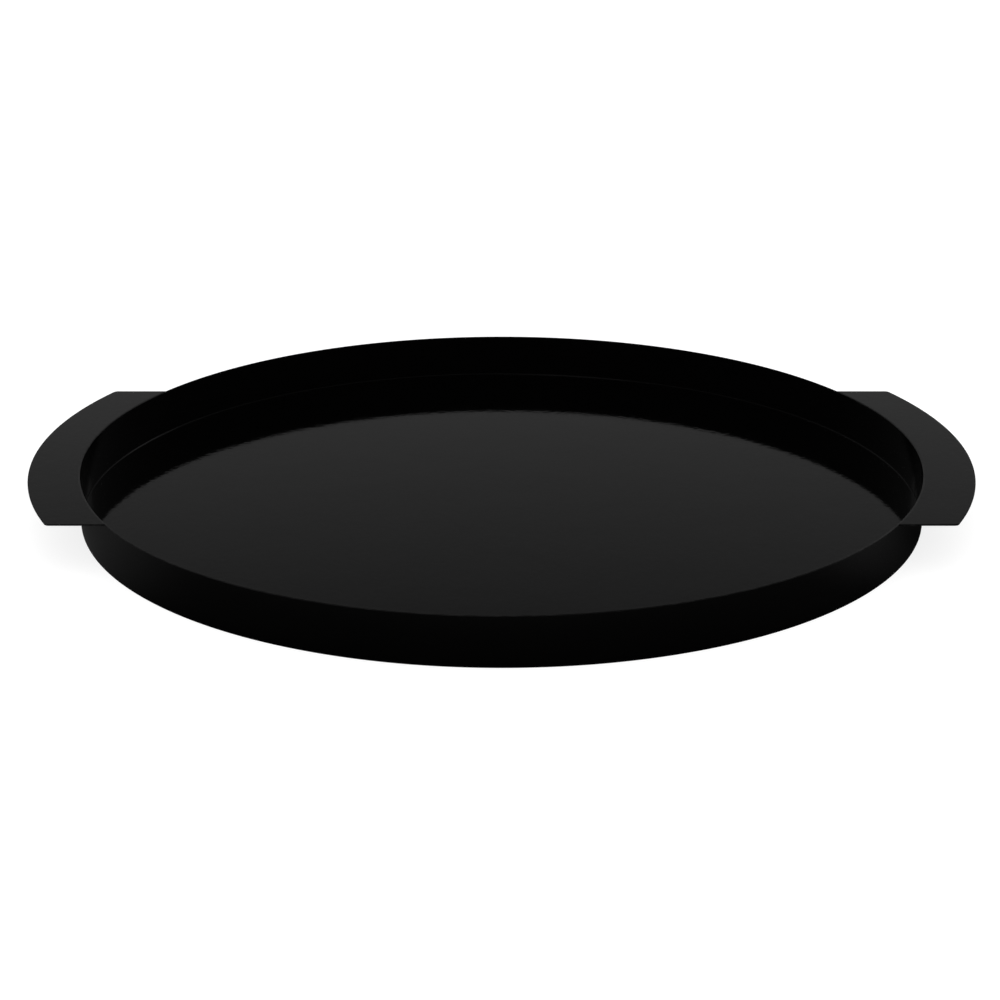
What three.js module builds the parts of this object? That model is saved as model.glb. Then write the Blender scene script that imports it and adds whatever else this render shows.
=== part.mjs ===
// Round serving tray with two flat tab handles, fabricated from thin sheet steel.
//
// A flat floor disc sits inside a rolled wall hoop. The hoop is closed by a butt seam, and
// an inside fillet weld joins it to the floor. Each handle is a flat plate butted against the
// outside of the hoop, flush with the rim, and held by a fillet weld on its underside.
//
// Sizes are in millimetres. +Z is up, the handles lie along X, and the origin is the centre
// of the underside, where the tray rests.

import * as THREE from 'three';

// Driving dimensions
const TRAY_DIAMETER = 400;
const TRAY_HEIGHT = 22.8;
const SHEET = 0.8;
const HANDLE_SPAN = 446.2;
const HANDLE_WIDTH = 195.2;
const HANDLE_CORNER_RADIUS = 2.5;
const FLOOR_WELD_LEG = 0.6;
const HANDLE_WELD_LEG = 1.8;
const SEAM_WIDTH = 1.6;
const JOINT_GAP = 0.05;

// How finely round shapes are divided
const FACETS = 144;
const FACET_ANGLE = (2 * Math.PI) / FACETS;
const CORNER_STEP = Math.PI / 12;
const WELD_FACE_STEP = Math.PI / 6;
const HANDLE_WELD_FACETS = 22;

// Sizes that follow from the driving dimensions
const WALL_OUTER_RADIUS = TRAY_DIAMETER / 2;
const WALL_INNER_RADIUS = WALL_OUTER_RADIUS - SHEET;
const FLOOR_RADIUS = WALL_INNER_RADIUS - JOINT_GAP;
const FLOOR_PLAIN_RADIUS = 0.9 * FLOOR_RADIUS;
const HANDLE_OUTER_RADIUS = HANDLE_SPAN / 2;
const HANDLE_INNER_RADIUS = WALL_OUTER_RADIUS + JOINT_GAP;
const HANDLE_UNDERSIDE = TRAY_HEIGHT - SHEET;

const blackPaint = new THREE.MeshStandardMaterial({ color: 0x0b0b0c, roughness: 0.1, metalness: 0 });
const paintedWeld = new THREE.MeshStandardMaterial({ color: 0x101011, roughness: 0.25, metalness: 0 });

function piece(name, geometry, material) {
  const mesh = new THREE.Mesh(geometry, material.clone());
  mesh.name = name;
  return mesh;
}

function polar(centre, radius, angle) {
  return new THREE.Vector2(
    centre.x + radius * Math.cos(angle),
    centre.y + radius * Math.sin(angle),
  );
}

// Points of an arc: both ends, and every whole multiple of the step between them. Neighbouring
// pieces share the same step, so their facets lie parallel and keep an even gap.
function arc(centre, radius, from, to, step) {
  const direction = Math.sign(to - from);
  const inside = [];
  const first = Math.floor(Math.min(from, to) / step) + 1;
  const last = Math.ceil(Math.max(from, to) / step) - 1;
  for (let k = first; k <= last; k += 1) {
    inside.push(polar(centre, radius, k * step));
  }
  if (direction < 0) {
    inside.reverse();
  }
  return [polar(centre, radius, from), ...inside, polar(centre, radius, to)];
}

function trayArc(radius, from, to) {
  return arc(new THREE.Vector2(0, 0), radius, from, to, FACET_ANGLE);
}

// A flat outline raised by a height above its underside.
function plate(outline, underside, height) {
  const geometry = new THREE.ExtrudeGeometry(new THREE.Shape(outline), {
    depth: height,
    bevelEnabled: false,
  });
  return geometry.translate(0, 0, underside);
}

// Part of the wall hoop between two angles, at the full height of the tray.
function wallSector(from, to) {
  const outer = trayArc(WALL_OUTER_RADIUS, from, to);
  const inner = trayArc(WALL_INNER_RADIUS, to, from);
  return plate([...outer, ...inner], 0, TRAY_HEIGHT);
}

// A ring or disc turned about the Z axis, from (radius, height) points.
function turned(profile) {
  return new THREE.LatheGeometry(profile, FACETS).rotateX(Math.PI / 2);
}

function floorDisc() {
  const profile = [
    new THREE.Vector2(0, 0),
    new THREE.Vector2(FLOOR_PLAIN_RADIUS, 0),
    new THREE.Vector2(FLOOR_RADIUS, 0),
    new THREE.Vector2(FLOOR_RADIUS, SHEET),
    new THREE.Vector2(FLOOR_PLAIN_RADIUS, SHEET),
    new THREE.Vector2(0, SHEET),
  ];
  return turned(profile);
}

// The hoop is open by the width of its seam, which lies under the right handle.
function wallBand() {
  const seamHalfAngle = (SEAM_WIDTH / 2 + JOINT_GAP) / WALL_INNER_RADIUS;
  return wallSector(seamHalfAngle, 2 * Math.PI - seamHalfAngle);
}

function wallSeamWeld() {
  const halfAngle = SEAM_WIDTH / 2 / WALL_INNER_RADIUS;
  return wallSector(-halfAngle, halfAngle);
}

// The bead in the corner between the floor and the inside of the wall. Its hollow face is an
// arc tangent to both, from the wall down to the floor.
function floorWeld() {
  const corner = new THREE.Vector2(WALL_INNER_RADIUS - JOINT_GAP, SHEET + JOINT_GAP);
  const faceCentre = new THREE.Vector2(corner.x - FLOOR_WELD_LEG, corner.y + FLOOR_WELD_LEG);
  const face = arc(faceCentre, FLOOR_WELD_LEG, 0, -Math.PI / 2, WELD_FACE_STEP);
  const floorToe = face[face.length - 1];
  return turned([floorToe, corner, ...face]);
}

// A handle's outline: the inner edge follows the wall, the outer edge is concentric with it,
// the two ends are straight and parallel to X, and the outer corners are rounded.
function handleOutline() {
  const halfWidth = HANDLE_WIDTH / 2;
  const innerAngle = Math.asin(halfWidth / HANDLE_INNER_RADIUS);
  const cornerY = halfWidth - HANDLE_CORNER_RADIUS;
  const cornerX = Math.sqrt((HANDLE_OUTER_RADIUS - HANDLE_CORNER_RADIUS) ** 2 - cornerY ** 2);
  const cornerAngle = Math.atan2(cornerY, cornerX);
  const frontCorner = new THREE.Vector2(cornerX, -cornerY);
  const backCorner = new THREE.Vector2(cornerX, cornerY);
  const rightAngle = Math.PI / 2;
  return [
    ...trayArc(HANDLE_INNER_RADIUS, innerAngle, -innerAngle),
    ...arc(frontCorner, HANDLE_CORNER_RADIUS, -rightAngle, -cornerAngle, CORNER_STEP),
    ...trayArc(HANDLE_OUTER_RADIUS, -cornerAngle, cornerAngle).slice(1, -1),
    ...arc(backCorner, HANDLE_CORNER_RADIUS, cornerAngle, rightAngle, CORNER_STEP),
  ];
}

function handle() {
  return plate(handleOutline(), HANDLE_UNDERSIDE, SHEET);
}

// An arc about the Z axis at one height, centred on +X.
class LevelArc extends THREE.Curve {
  constructor(radius, height, halfAngle) {
    super();
    this.radius = radius;
    this.height = height;
    this.halfAngle = halfAngle;
  }

  getPoint(t, target = new THREE.Vector3()) {
    const angle = (2 * t - 1) * this.halfAngle;
    return target.set(this.radius * Math.cos(angle), this.radius * Math.sin(angle), this.height);
  }
}

// The bead in the corner between the wall and a handle's underside, with a hollow face too.
// Along the path, the section's first axis points down and its second in towards the tray.
function handleWeld() {
  const faceCentre = new THREE.Vector2(HANDLE_WELD_LEG, -HANDLE_WELD_LEG);
  const face = arc(faceCentre, HANDLE_WELD_LEG, Math.PI / 2, Math.PI, WELD_FACE_STEP);
  const section = new THREE.Shape([new THREE.Vector2(0, 0), ...face]);
  const path = new LevelArc(
    WALL_OUTER_RADIUS + JOINT_GAP,
    HANDLE_UNDERSIDE - JOINT_GAP,
    (HANDLE_WELD_FACETS / 2) * FACET_ANGLE,
  );
  return new THREE.ExtrudeGeometry(section, { steps: HANDLE_WELD_FACETS, extrudePath: path });
}

const tray = new THREE.Group();
tray.add(piece('floor_disc', floorDisc(), blackPaint));
tray.add(piece('wall_band', wallBand(), blackPaint));
tray.add(piece('wall_seam_weld', wallSeamWeld(), paintedWeld));
tray.add(piece('floor_weld', floorWeld(), paintedWeld));

for (const [side, turn] of [['right', 0], ['left', Math.PI]]) {
  const sideGroup = new THREE.Group();
  sideGroup.rotation.z = turn;
  sideGroup.add(piece(`${side}_handle`, handle(), blackPaint));
  sideGroup.add(piece(`${side}_handle_weld`, handleWeld(), paintedWeld));
  tray.add(sideGroup);
}

export default tray;
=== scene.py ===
import math

import bmesh
import bpy
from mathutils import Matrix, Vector, noise


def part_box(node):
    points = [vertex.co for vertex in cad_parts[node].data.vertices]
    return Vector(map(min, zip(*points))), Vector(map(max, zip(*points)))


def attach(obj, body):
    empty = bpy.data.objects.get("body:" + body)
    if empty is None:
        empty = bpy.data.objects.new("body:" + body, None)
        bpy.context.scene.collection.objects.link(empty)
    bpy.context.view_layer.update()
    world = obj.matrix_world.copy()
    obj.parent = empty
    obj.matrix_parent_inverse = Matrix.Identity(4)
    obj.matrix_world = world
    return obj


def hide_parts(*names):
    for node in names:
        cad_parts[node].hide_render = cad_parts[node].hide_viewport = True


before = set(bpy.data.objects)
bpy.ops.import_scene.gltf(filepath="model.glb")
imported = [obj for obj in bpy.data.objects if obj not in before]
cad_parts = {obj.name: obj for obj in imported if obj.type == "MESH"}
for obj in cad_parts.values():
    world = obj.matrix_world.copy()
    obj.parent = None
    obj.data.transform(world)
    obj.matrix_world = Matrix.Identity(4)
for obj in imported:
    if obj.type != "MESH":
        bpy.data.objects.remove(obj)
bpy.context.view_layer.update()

MM = 0.001

# Sizes read from the frame, in metres
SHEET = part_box("floor_disc")[1].z
RIM_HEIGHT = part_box("wall_band")[1].z
WALL_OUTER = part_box("wall_band")[1].y
WALL_INNER = WALL_OUTER - SHEET
HANDLE_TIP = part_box("right_handle")[1].x
HANDLE_HALF_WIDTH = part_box("right_handle")[1].y
HANDLE_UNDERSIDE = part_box("right_handle")[0].z

# Finish of the sheet edges. The rim lies a hair below the handles, and each handle runs a little
# way into the thickness of the wall.
RIM_ROUNDING = 0.34 * MM
BASE_ROUNDING = 0.4 * MM
HANDLE_ROUNDING = 0.3 * MM
HANDLE_CORNER = 2.5 * MM
HANDLE_LAP = 0.35 * MM
RIM_DROP = 0.03 * MM

# Welds
FLOOR_WELD_LEG = 0.6 * MM
SEAM_HALF_WIDTH = 0.8 * MM
HANDLE_WELD_LEG = 1.85 * MM
HANDLE_WELD_OVERLAP = 0.1 * MM
HANDLE_WELD_HALF_ANGLE = math.radians(27.5)

# The unevenness of the welds under the handles. The counts are along a whole weld, and the other
# numbers are shares of its leg: the mean, the ripples, the slow drift, the start and growth at each
# end, and the reach of the face near its toes and how much further it bulges in the middle.
WELD_MEAN = 0.92
RIPPLE_COUNT = 120
RIPPLE_DEPTH = 0.05
DRIFT_COUNT = 18.0
DRIFT_DEPTH = 0.06
WELD_END = 0.35
WELD_END_GROWTH = 12
FACE_REACH = 0.70
FACE_BULGE = 0.16

# Divisions of the fine meshes. SUPPORT is how far from a rounding the next row of points lies,
# which keeps the face beside it flat.
TURNS = 480
ROUND_STEPS = 6
SUPPORT = 0.04 * MM
WALL_HEIGHTS = (4 * MM, 8 * MM, 12 * MM, 16 * MM, 20 * MM)
FLOOR_RINGS = 40
SEAM_TURNS = 8
FILLET_STEPS = 8
HANDLE_STATIONS = 120
HANDLE_CORNER_STEPS = 12
HANDLE_ROWS = 10
WELD_STATIONS = 840

# A rounding bends by more than EDGE_BEND at each of its points, and a square corner by more than
# SQUARE_CORNER
EDGE_BEND = math.radians(5)
SQUARE_CORNER = math.radians(35)

# The paint's tone, roughness and depth of wave, peel and grain
BLACK = 0.0001
WELD_BLACK = 0.0004
FLAT_ROUGHNESS = 0.05
WALL_ROUGHNESS = 0.11
WELD_ROUGHNESS = 0.2
PAINT_IOR = 1.5
WAVE = 0.04 * MM
PEEL = 0.03 * MM
WELD_PEEL = 0.05 * MM
GRAIN = 0.0002 * MM
WELD_GRAIN = 0.001 * MM

# How much lighter and duller the paint is on worn edges
EDGE_TINT = 0.006
EDGE_DULLING = 0.12

# The paint's textures, as noise: (cells a metre, detail, roughness). The wipe marks are turned and
# stretched into streaks first, which multiplies their cells.
WEAR_NOISE = (140.0, 4.0, 0.7)
CLOUD_NOISE = (9.0, 3.0, 0.5)
HAZE_NOISE = (45.0, 5.0, 0.6)
WIPE_NOISE = (4.0, 3.0, 0.6)
WIPE_TURN = (0, 0, 0.5)
WIPE_STRETCH = (6, 260, 40)
WAVE_NOISE = (30.0, 1.0, 0.5)
PEEL_NOISE = (380.0, 2.0, 0.5)
GRAIN_NOISE = (2600.0, 2.0, 0.5)

# What becomes of a noise: (low, high, result at low, result at high). The results are shares: of
# full wear, of the paint's tone, and for haze and wipe marks of its roughness.
WEAR_SPREAD = (0.42, 0.68, 0.15, 1.0)
CLOUD_SPREAD = (0.3, 0.7, 0.7, 1.3)
HAZE_SPREAD = (0.3, 0.7, 0.85, 1.15)
WIPE_SPREAD = (0.62, 0.8, 0.0, 0.6)

# The camera's place, seen from the middle of the rim, and its aim
CAMERA_DISTANCE = 1.0922
CAMERA_ELEVATION = math.radians(18.965)
CAMERA_PITCH = math.radians(20.169)
CAMERA_LEFT = 0.74 * MM
CAMERA_LENS = 82.0
SENSOR_WIDTH = 36.0
CAMERA_NEAR = 0.05
CAMERA_FAR = 100.0

# The studio for all rays but the gloss: the sky's strength, and the stage floor's half size, tone
# and light from below
SKY_STRENGTH = 1.2
STAGE_HALF_SIZE = 30.0
STAGE_TONE = 0.3
STAGE_LIGHT = 0.8

# What the gloss sees of the studio, apart from the lit screen behind: (sine of elevation, tone)
STUDIO_TONES = ((0.18, 0.09), (0.26, 0.05), (0.37, 0.05), (0.43, 0.1), (0.52, 0.1), (0.66, 0.02))

# The lit screen behind the tray, seen only in the gloss: (sine of elevation, tone) at foot and top
SCREEN_FOOT = (0.15, 0.2025)
SCREEN_TOP = (0.57, 0.014)

# How much of the screen is seen, by the cosine of the angle away from straight behind
SCREEN_SPREAD = ((0.71, 0.0), (0.79, 0.06), (0.963, 0.06), (0.976, 1.0))

# The stage floor as the gloss sees it: its tone near the tray, and the glow further off, as
# (distance from the tray's middle, strength) where it starts and where it is full
STAGE_TONE_IN_GLOSS = 0.021
GLOW_START = (0.22, 0.0)
GLOW_FULL = (0.5, 0.35)

# Painted light: soft glowing patches on the stage floor, seen only in the gloss: (centre, radius,
# strength)
PAINTED_LIGHT_PATCHES = (
    ((-0.2075, -0.08, 0.0), 0.1, 0.042),
    ((0.23, -0.116, 0.0), 0.073, 0.055),
)

# Softboxes: (name, place, width, height, radiance)
SOFTBOXES = (
    ("overhead_softbox", (-0.4, -0.2, 1.95), 0.65, 0.6, 0.28),
    ("back_right_softbox", (1.2, 1.43, 1.17), 0.78, 0.46, 0.31),
)


# ---------------------------------------------------------------- mesh helpers

def mark_edges(bm):
    """Store 1 in "edge" at the vertices on an outward rounding, where paint thins, and 0 elsewhere."""
    layer = bm.verts.layers.float.new("edge")
    for vert in bm.verts:
        bend = max(edge.calc_face_angle_signed(0.0) for edge in vert.link_edges)
        vert[layer] = 1.0 if EDGE_BEND < bend < SQUARE_CORNER else 0.0


def new_piece(name, bm, material):
    """A piece from a finished bmesh, smooth but for its square corners, riding on the one body."""
    bmesh.ops.recalc_face_normals(bm, faces=bm.faces)
    mark_edges(bm)
    mesh = bpy.data.meshes.new(name)
    bm.to_mesh(mesh)
    bm.free()
    mesh.shade_smooth()
    mesh.set_sharp_from_angle(angle=SQUARE_CORNER)
    mesh.materials.append(material)
    piece = bpy.data.objects.new(name, mesh)
    bpy.context.scene.collection.objects.link(piece)
    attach(piece, "root")
    return piece


def rounding(centre, radius, start, end, steps=ROUND_STEPS):
    """Points (radius, height) of a rounding, from angle start to end in degrees."""
    points = []
    for i in range(steps + 1):
        angle = math.radians(start + (end - start) * i / steps)
        points.append((centre[0] + radius * math.cos(angle), centre[1] + radius * math.sin(angle)))
    return points


def grid_faces(bm, rows, wrap_rows=False, wrap_columns=False):
    """Quads between rows of vertices, closed round in either direction where asked."""
    row_pairs = list(zip(rows, rows[1:]))
    if wrap_rows:
        row_pairs.append((rows[-1], rows[0]))
    for low, high in row_pairs:
        count = len(low)
        for i in range(count if wrap_columns else count - 1):
            j = (i + 1) % count
            bm.faces.new((low[i], low[j], high[j], high[i]))


def turn(profile, turns=TURNS, start=0.0, end=None):
    """A closed (radius, height) profile turned about Z: a full ring, or a capped part of one."""
    bm = bmesh.new()
    full = end is None
    sweep = 2 * math.pi if full else end - start
    rows = []
    for i in range(turns if full else turns + 1):
        angle = start + sweep * i / turns
        c, s = math.cos(angle), math.sin(angle)
        rows.append([bm.verts.new((r * c, r * s, z)) for r, z in profile])
    grid_faces(bm, rows, wrap_rows=full, wrap_columns=True)
    if not full:
        bm.faces.new(rows[0])
        bm.faces.new(rows[-1])
    return bm


# ---------------------------------------------------------------- pieces

def wall_profile():
    """Upright sheet section: both rim edges deburred, the outer bottom edge rounded."""
    top = RIM_HEIGHT - RIM_DROP
    outer, inner = WALL_OUTER, WALL_INNER
    points = [(inner, 0.0), (outer - BASE_ROUNDING - SUPPORT, 0.0)]
    points += rounding((outer - BASE_ROUNDING, BASE_ROUNDING), BASE_ROUNDING, -90, 0)
    points += [(outer, BASE_ROUNDING + SUPPORT)]
    points += [(outer, z) for z in WALL_HEIGHTS]
    points += [(outer, top - RIM_ROUNDING - SUPPORT)]
    points += rounding((outer - RIM_ROUNDING, top - RIM_ROUNDING), RIM_ROUNDING, 0, 90)
    points += rounding((inner + RIM_ROUNDING, top - RIM_ROUNDING), RIM_ROUNDING, 90, 180)
    points += [(inner, top - RIM_ROUNDING - SUPPORT)]
    points += [(inner, z) for z in reversed(WALL_HEIGHTS)]
    return points


def build_wall(paint):
    """The hoop, open by the width of its seam, which lies under the right handle."""
    half = SEAM_HALF_WIDTH / WALL_INNER
    bm = turn(wall_profile(), start=half, end=2 * math.pi - half)
    piece = new_piece("wall_band_fine", bm, paint)
    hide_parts("wall_band")


def build_seam(paint):
    """The butt weld that closes the hoop, ground flush."""
    half = SEAM_HALF_WIDTH / WALL_INNER
    bm = turn(wall_profile(), turns=SEAM_TURNS, start=-half, end=half)
    piece = new_piece("wall_seam_weld_fine", bm, paint)
    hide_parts("wall_seam_weld")


def build_floor(paint):
    """A flat disc that fills the hoop, in rings of quads round a hub."""
    bm = bmesh.new()
    radii = [WALL_INNER * k / FLOOR_RINGS for k in range(1, FLOOR_RINGS + 1)]
    tops, bottoms = [], []
    for rows, z in ((tops, SHEET), (bottoms, 0.0)):
        for r in radii:
            ring = []
            for i in range(TURNS):
                angle = 2 * math.pi * i / TURNS
                ring.append(bm.verts.new((r * math.cos(angle), r * math.sin(angle), z)))
            rows.append(ring)
        hub = bm.verts.new((0, 0, z))
        grid_faces(bm, rows, wrap_columns=True)
        for i in range(TURNS):
            bm.faces.new((hub, rows[0][i], rows[0][(i + 1) % TURNS]))
    grid_faces(bm, [tops[-1], bottoms[-1]], wrap_columns=True)
    piece = new_piece("floor_disc_fine", bm, paint)
    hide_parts("floor_disc")


def build_floor_weld(paint):
    """A fillet in the corner of floor and wall, its hollow face an arc tangent to both."""
    leg = FLOOR_WELD_LEG
    profile = [(WALL_INNER, SHEET)]
    profile += rounding((WALL_INNER - leg, SHEET + leg), leg, 0, -90, FILLET_STEPS)
    bm = turn(profile)
    piece = new_piece("floor_weld_fine", bm, paint)
    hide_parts("floor_weld")


def handle_grid(inset):
    """Plan points of the right handle, its edges all moved in by inset: rows from wall to tip."""
    half = HANDLE_HALF_WIDTH - inset
    corner = HANDLE_CORNER - inset
    tip = HANDLE_TIP - inset
    inner = WALL_OUTER - HANDLE_LAP + inset
    centre_y = half - corner
    centre_x = math.sqrt((tip - corner) ** 2 - centre_y ** 2)
    corner_angle = math.atan2(centre_y, centre_x)
    inner_angle = math.asin(half / inner)
    outer = []
    for i in range(HANDLE_CORNER_STEPS):
        a = -math.pi / 2 + (math.pi / 2 - corner_angle) * i / HANDLE_CORNER_STEPS
        outer.append((centre_x + corner * math.cos(a), -centre_y + corner * math.sin(a)))
    tip_steps = HANDLE_STATIONS - 2 * HANDLE_CORNER_STEPS
    for i in range(tip_steps + 1):
        a = -corner_angle + 2 * corner_angle * i / tip_steps
        outer.append((tip * math.cos(a), tip * math.sin(a)))
    for i in range(1, HANDLE_CORNER_STEPS + 1):
        a = corner_angle + (math.pi / 2 - corner_angle) * i / HANDLE_CORNER_STEPS
        outer.append((centre_x + corner * math.cos(a), centre_y + corner * math.sin(a)))
    rows = []
    for i, (x, y) in enumerate(outer):
        a = -inner_angle + 2 * inner_angle * i / HANDLE_STATIONS
        near = Vector((inner * math.cos(a), inner * math.sin(a)))
        far = Vector((x, y))
        rows.append([near.lerp(far, k / HANDLE_ROWS) for k in range(HANDLE_ROWS + 1)])
    return rows


def rim_of(rows):
    """The outline of a grid of points or vertices, in order round it."""
    wall_side = [row[0] for row in reversed(rows)]
    free_side = [row[-1] for row in rows]
    return wall_side[:-1] + rows[0][:-1] + free_side[:-1] + list(reversed(rows[-1]))[:-1]


def build_handle(side, turn_angle, paint):
    """A flat tab with rounded edges, turned about Z to its side of the tray."""
    bm = bmesh.new()
    c, s = math.cos(turn_angle), math.sin(turn_angle)

    def vertex(point, z):
        return bm.verts.new((point.x * c - point.y * s, point.x * s + point.y * c, z))

    top, low, r = RIM_HEIGHT, HANDLE_UNDERSIDE, HANDLE_ROUNDING
    flat = handle_grid(r + SUPPORT)
    caps = []
    for z in (top, low):
        rows = [[vertex(p, z) for p in row] for row in flat]
        grid_faces(bm, rows)
        caps.append(rim_of(rows))
    layers = []
    for i in range(ROUND_STEPS + 1):
        a = math.pi / 2 * i / ROUND_STEPS
        layers.append((r - r * math.sin(a), top - r + r * math.cos(a)))
    for i in range(ROUND_STEPS + 1):
        a = math.pi / 2 * i / ROUND_STEPS
        layers.append((r - r * math.cos(a), low + r - r * math.sin(a)))
    loops = [caps[0]]
    loops += [[vertex(p, z) for p in rim_of(handle_grid(inset))] for inset, z in layers]
    loops.append(caps[1])
    grid_faces(bm, loops, wrap_columns=True)
    piece = new_piece(f"{side}_handle_fine", bm, paint)
    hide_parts(f"{side}_handle")


def build_handle_weld(side, turn_angle, paint):
    """A fillet bead under the handle with the fine ripples of a weld laid in short steps."""
    bm = bmesh.new()
    half = HANDLE_WELD_HALF_ANGLE
    corner_r = WALL_OUTER - HANDLE_WELD_OVERLAP
    corner_z = HANDLE_UNDERSIDE + HANDLE_WELD_OVERLAP
    rows = []
    for i in range(WELD_STATIONS + 1):
        t = i / WELD_STATIONS
        a = turn_angle - half + 2 * half * t
        ripple = 1 + RIPPLE_DEPTH * math.sin(2 * math.pi * RIPPLE_COUNT * t)
        drift = DRIFT_DEPTH * noise.noise(Vector((t * DRIFT_COUNT, turn_angle, 0.0)))
        taper = min(1.0, WELD_END + WELD_END_GROWTH * min(t, 1 - t))
        leg = HANDLE_WELD_LEG * (WELD_MEAN + drift) * ripple * taper
        section = [(corner_r, corner_z), (corner_r, corner_z - leg)]
        for k in range(1, FILLET_STEPS):
            b = math.pi / 2 * k / FILLET_STEPS
            reach = leg * (FACE_REACH + FACE_BULGE * math.sin(2 * b))
            section.append((corner_r + reach * math.sin(b), corner_z - reach * math.cos(b)))
        section.append((corner_r + leg, corner_z))
        rows.append([bm.verts.new((r * math.cos(a), r * math.sin(a), z)) for r, z in section])
    grid_faces(bm, rows, wrap_columns=True)
    bm.faces.new(rows[0])
    bm.faces.new(rows[-1])
    piece = new_piece(f"{side}_handle_weld_fine", bm, paint)
    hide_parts(f"{side}_handle_weld")


# ---------------------------------------------------------------- materials

def grey_colour(tone):
    return (tone, tone, tone, 1.0)


class Nodes:
    """A short way to add and join shader nodes."""

    def __init__(self, tree):
        self.tree = tree

    def add(self, kind, inputs=None, **settings):
        node = self.tree.nodes.new(kind)
        for key, value in settings.items():
            setattr(node, key, value)
        for key, value in (inputs or {}).items():
            if isinstance(value, bpy.types.NodeSocket):
                self.tree.links.new(value, node.inputs[key])
            else:
                node.inputs[key].default_value = value
        return node

    def noise(self, where, scale, detail, roughness):
        inputs = {"Vector": where, "Scale": scale, "Detail": detail, "Roughness": roughness}
        return self.add("ShaderNodeTexNoise", inputs).outputs["Fac"]

    def remap(self, value, low, high, to_low, to_high, kind="LINEAR"):
        inputs = {"Value": value, "From Min": low, "From Max": high, "To Min": to_low, "To Max": to_high}
        return self.add("ShaderNodeMapRange", inputs, interpolation_type=kind).outputs["Result"]

    def ease(self, value, start, end):
        """Ease from one (position, tone) to another."""
        return self.remap(value, start[0], end[0], start[1], end[1], "SMOOTHSTEP")

    def spread(self, value, spread, size=1.0):
        """A noise brought to its spread (low, high, result at low, result at high) times a size."""
        low, high, at_low, at_high = spread
        return self.remap(value, low, high, at_low * size, at_high * size)

    def maths(self, operation, *values):
        return self.add("ShaderNodeMath", dict(enumerate(values)), operation=operation).outputs[0]

    def bump(self, height, distance, normal=None):
        inputs = {"Height": height, "Distance": distance}
        if normal:
            inputs["Normal"] = normal
        return self.add("ShaderNodeBump", inputs).outputs["Normal"]

    def ramp(self, value, tones):
        """A grey that eases through (position, tone) stops."""
        node = self.add("ShaderNodeValToRGB", {"Fac": value})
        node.color_ramp.interpolation = "EASE"
        stops = node.color_ramp.elements
        while len(stops) < len(tones):
            stops.new(0.5)
        for stop, (position, tone) in zip(stops, tones):
            stop.position = position
            stop.color = grey_colour(tone)
        return node.outputs["Color"]

    def join(self, output, socket):
        self.tree.links.new(output, socket)


def black_paint(name, tone, roughness, peel, grain):
    """Baked gloss enamel: near-black and mirror-like, with orange peel, a faint haze and fine
    wipe marks, thinner and duller over the sheet's edges."""
    material = bpy.data.materials.new(name)
    material.use_nodes = True
    n = Nodes(material.node_tree)
    shader = material.node_tree.nodes["Principled BSDF"]
    where = n.add("ShaderNodeTexCoord").outputs["Object"]

    edge = n.add("ShaderNodeAttribute", attribute_name="edge").outputs["Fac"]
    patches = n.spread(n.noise(where, *WEAR_NOISE), WEAR_SPREAD)
    wear = n.maths("MULTIPLY", edge, patches)

    cloud = n.spread(n.noise(where, *CLOUD_NOISE), CLOUD_SPREAD, tone)
    grey = n.maths("MULTIPLY_ADD", wear, EDGE_TINT, cloud)
    colour = n.add("ShaderNodeCombineColor", {"Red": grey, "Green": grey, "Blue": grey})
    n.join(colour.outputs[0], shader.inputs["Base Color"])

    haze = n.spread(n.noise(where, *HAZE_NOISE), HAZE_SPREAD, roughness)
    streaks = {"Vector": where, "Rotation": WIPE_TURN, "Scale": WIPE_STRETCH}
    along = n.add("ShaderNodeMapping", streaks).outputs[0]
    wiped = n.spread(n.noise(along, *WIPE_NOISE), WIPE_SPREAD, roughness)
    dulled = n.maths("MULTIPLY_ADD", wear, EDGE_DULLING, n.maths("ADD", haze, wiped))
    n.join(dulled, shader.inputs["Roughness"])

    normal = n.bump(n.noise(where, *WAVE_NOISE), WAVE)
    normal = n.bump(n.noise(where, *PEEL_NOISE), peel, normal)
    normal = n.bump(n.noise(where, *GRAIN_NOISE), grain, normal)
    n.join(normal, shader.inputs["Normal"])
    shader.inputs["IOR"].default_value = PAINT_IOR
    return material


# ---------------------------------------------------------------- stage

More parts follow.
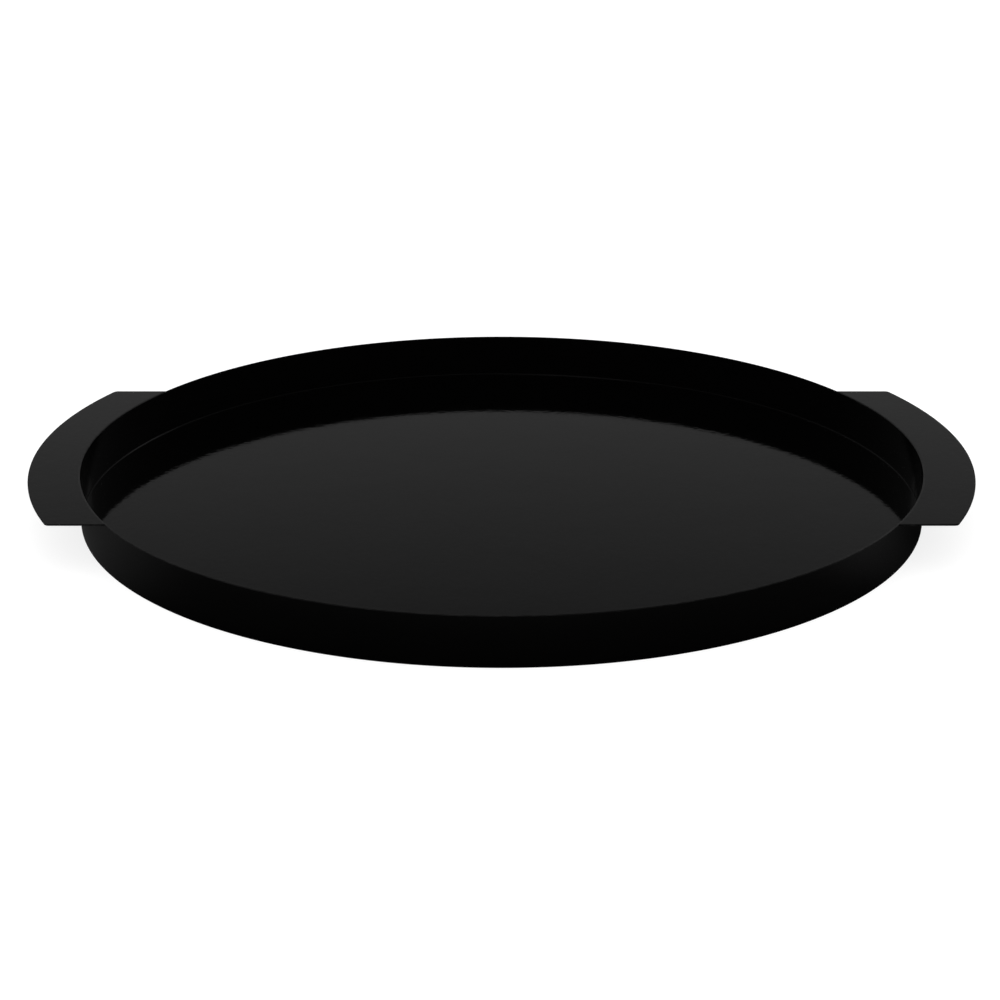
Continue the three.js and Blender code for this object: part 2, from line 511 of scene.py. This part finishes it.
def build_stage():
    """A plain pale floor, lit from below as well so that shadows on it stay faint. The tray's gloss
    sees it dim instead, with soft patches of light near by and a pale glow further off."""
    bm = bmesh.new()
    bmesh.ops.create_grid(bm, x_segments=4, y_segments=4, size=STAGE_HALF_SIZE)
    mesh = bpy.data.meshes.new("studio_floor")
    bm.to_mesh(mesh)
    bm.free()
    floor = bpy.data.objects.new("studio_floor", mesh)
    bpy.context.scene.collection.objects.link(floor)
    material = bpy.data.materials.new("pale_floor")
    material.use_nodes = True
    material.cycles.emission_sampling = "NONE"
    tree = material.node_tree
    tree.nodes.clear()
    n = Nodes(tree)
    top = n.add("ShaderNodeBsdfDiffuse", {"Color": grey_colour(STAGE_TONE)})
    below = n.add("ShaderNodeEmission", {"Strength": STAGE_LIGHT})
    pale = n.add("ShaderNodeAddShader", {0: top.outputs[0], 1: below.outputs[0]})
    dim = n.add("ShaderNodeBsdfDiffuse", {"Color": grey_colour(STAGE_TONE_IN_GLOSS)})
    where = n.add("ShaderNodeTexCoord").outputs["Object"]
    glow = 0.0
    for centre, radius, strength in PAINTED_LIGHT_PATCHES:
        apart = n.add("ShaderNodeVectorMath", {0: where, 1: centre}, operation="DISTANCE")
        patch = n.ease(apart.outputs["Value"], (0.0, strength), (radius, 0.0))
        glow = n.maths("ADD", patch, glow)
    distance = n.add("ShaderNodeVectorMath", {0: where}, operation="LENGTH").outputs["Value"]
    glow = n.maths("ADD", glow, n.ease(distance, GLOW_START, GLOW_FULL))
    # Painted light: the patches and the far glow are emission on the stage floor, seen only in the gloss
    painted_glow = n.add("ShaderNodeEmission", {"Strength": glow})
    dim = n.add("ShaderNodeAddShader", {0: dim.outputs[0], 1: painted_glow.outputs[0]})
    ray = n.add("ShaderNodeLightPath").outputs["Is Glossy Ray"]
    mix = n.add("ShaderNodeMixShader", {0: ray, 1: pale.outputs[0], 2: dim.outputs[0]})
    n.add("ShaderNodeOutputMaterial", {"Surface": mix.outputs[0]})
    mesh.materials.append(material)


def build_world():
    """Soft white light from all round. Gloss sees a dim studio instead: a lit screen behind the
    tray, a glow along the horizon, a ring of soft panels above it, and shade between them."""
    world = bpy.data.worlds.new("studio")
    bpy.context.scene.world = world
    world.use_nodes = True
    world.cycles.sampling_method = "NONE"
    tree = world.node_tree
    tree.nodes.clear()
    n = Nodes(tree)
    where = n.add("ShaderNodeTexCoord").outputs["Generated"]
    height = n.add("ShaderNodeSeparateXYZ", {"Vector": where}).outputs["Z"]
    level = n.add("ShaderNodeVectorMath", {0: where, 1: (1.0, 1.0, 0.0)}, operation="MULTIPLY")
    level = n.add("ShaderNodeVectorMath", {0: level.outputs[0]}, operation="NORMALIZE")
    backward = n.add("ShaderNodeSeparateXYZ", {"Vector": level.outputs[0]}).outputs["Y"]
    screen = n.ease(height, SCREEN_FOOT, SCREEN_TOP)
    around = n.ramp(height, STUDIO_TONES)
    behind = n.ramp(backward, SCREEN_SPREAD)
    seen_grey = n.add("ShaderNodeMix", {"Factor": behind, "A": around, "B": screen}).outputs["Result"]
    soft = n.add("ShaderNodeBackground", {"Color": grey_colour(1.0), "Strength": SKY_STRENGTH})
    seen = n.add("ShaderNodeBackground", {"Color": grey_colour(1.0), "Strength": seen_grey})
    ray = n.add("ShaderNodeLightPath").outputs["Is Glossy Ray"]
    mix = n.add("ShaderNodeMixShader", {0: ray, 1: soft.outputs[0], 2: seen.outputs[0]})
    n.add("ShaderNodeOutputWorld", {"Surface": mix.outputs[0]})


def softbox(name, place, width, height, radiance):
    """A rectangular studio light of even brightness, facing the middle of the rim."""
    aim = Vector((0.0, 0.0, RIM_HEIGHT))
    light = bpy.data.lights.new(name, "AREA")
    light.shape = "RECTANGLE"
    light.size = width
    light.size_y = height
    light.energy = radiance * math.pi * width * height
    lamp = bpy.data.objects.new(name, light)
    lamp.location = place
    lamp.rotation_euler = (aim - Vector(place)).to_track_quat("-Z", "Y").to_euler()
    lamp.visible_camera = False
    bpy.context.scene.collection.objects.link(lamp)


def build_camera():
    camera_data = bpy.data.cameras.new("camera")
    camera_data.lens = CAMERA_LENS
    camera_data.sensor_width = SENSOR_WIDTH
    camera_data.clip_start = CAMERA_NEAR
    camera_data.clip_end = CAMERA_FAR
    camera = bpy.data.objects.new("camera", camera_data)
    back = CAMERA_DISTANCE * math.cos(CAMERA_ELEVATION)
    up = RIM_HEIGHT + CAMERA_DISTANCE * math.sin(CAMERA_ELEVATION)
    camera.location = (-CAMERA_LEFT, -back, up)
    camera.rotation_euler = (math.pi / 2 - CAMERA_PITCH, 0.0, 0.0)
    bpy.context.scene.collection.objects.link(camera)
    bpy.context.scene.camera = camera


# ---------------------------------------------------------------- scene

build_camera()
bpy.context.scene.view_settings.view_transform = "Standard"

enamel = black_paint("black_enamel", BLACK, FLAT_ROUGHNESS, PEEL, GRAIN)
wall_enamel = black_paint("black_enamel_on_wall", BLACK, WALL_ROUGHNESS, PEEL, GRAIN)
weld_enamel = black_paint("black_enamel_on_weld", WELD_BLACK, WELD_ROUGHNESS, WELD_PEEL, WELD_GRAIN)
build_floor(enamel)
build_wall(wall_enamel)
build_seam(weld_enamel)
build_floor_weld(weld_enamel)
for side, turn_angle in (("right", 0.0), ("left", math.pi)):
    build_handle(side, turn_angle, enamel)
    build_handle_weld(side, turn_angle, weld_enamel)

build_stage()
build_world()
for name, place, width, height, radiance in SOFTBOXES:
    softbox(name, place, width, height, radiance)
